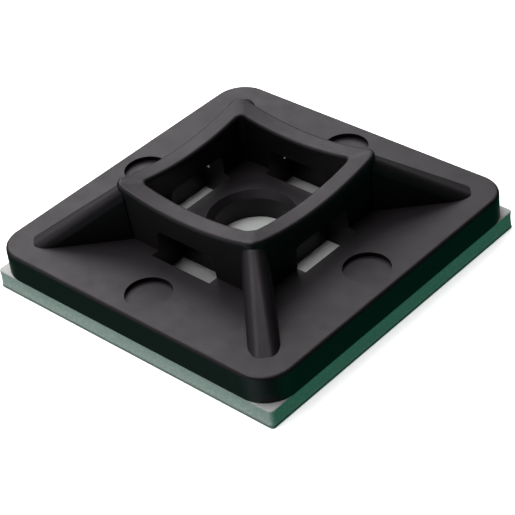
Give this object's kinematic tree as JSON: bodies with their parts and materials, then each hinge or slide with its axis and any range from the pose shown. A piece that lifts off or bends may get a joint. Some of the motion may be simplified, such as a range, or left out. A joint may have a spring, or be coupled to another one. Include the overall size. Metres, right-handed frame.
{
  "type": "cable tie mount",
  "caption": "Square self-adhesive cable tie mount: plate on a foam pad, with a raised saddle-rimmed tie frame, sloping corner legs, tie openings and a central screw hole.",
  "frame": {"origin": "middle of the release liner's underside, where the mount meets the wall or bench", "axes": "+Z out of the wall through the tie frame, X and Y along the sides of the square plate"},
  "size_m": [0.028, 0.028, 0.0084],
  "materials": {
    "moulded_plastic": "satin black moulded nylon",
    "tape_foam": "cut closed-cell foam",
    "liner_film": "thin satin film"
  },
  "bodies": {
    "root": {"mount_base": "moulded_plastic", "foam_pad": "tape_foam", "release_liner": "liner_film"}
  },
  "joints": []
}
